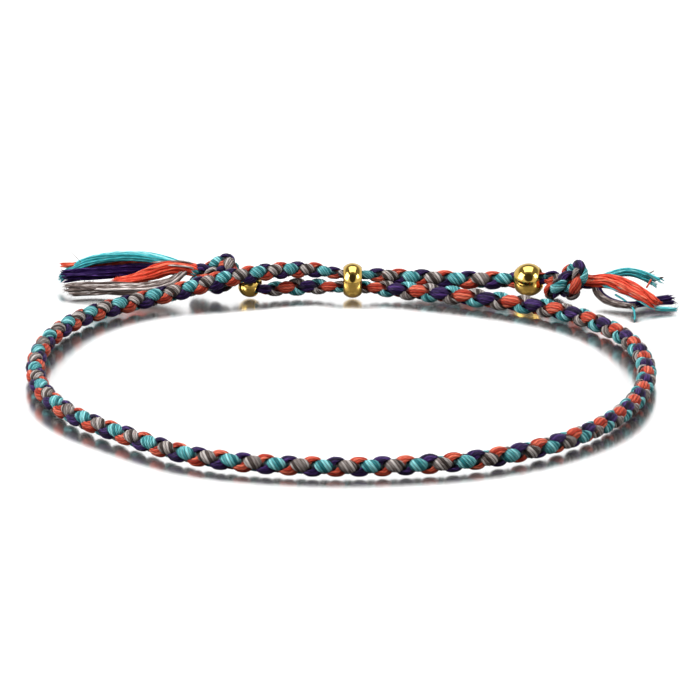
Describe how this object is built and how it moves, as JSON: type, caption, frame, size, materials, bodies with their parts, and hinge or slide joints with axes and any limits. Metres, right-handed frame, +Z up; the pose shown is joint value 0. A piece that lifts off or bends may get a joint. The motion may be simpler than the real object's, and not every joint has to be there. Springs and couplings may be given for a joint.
{
  "type": "braided bracelet",
  "caption": "Adjustable braided cord bracelet in coloured threads, closed by a sliding metal bead, its ends finished with round beads, knots and loose thread tassels.",
  "frame": {"origin": "on the surface that the bracelet lies on, under the middle of its outer box", "axes": "+X along the two cord ends towards the end with the orange tassel, +Y towards the sliding bead, +Z up"},
  "size_m": [0.0776, 0.0729, 0.005],
  "materials": {
    "turquoise_thread": "silky thread, lightly glossy",
    "orange_thread": "silky thread, lightly glossy",
    "purple_thread": "silky thread, lightly glossy",
    "taupe_thread": "silky thread with pale flecks",
    "polished_gold": "polished, gold-coloured plating"
  },
  "bodies": {
    "root": {"braided_cord": "turquoise_thread", "slider_bead": "polished_gold", "right_ball_bead": "polished_gold", "left_ball_bead": "polished_gold", "right_knot": "orange_thread", "left_knot": "purple_thread", "right_tassel": "orange_thread", "left_tassel": "taupe_thread"}
  },
  "joints": []
}
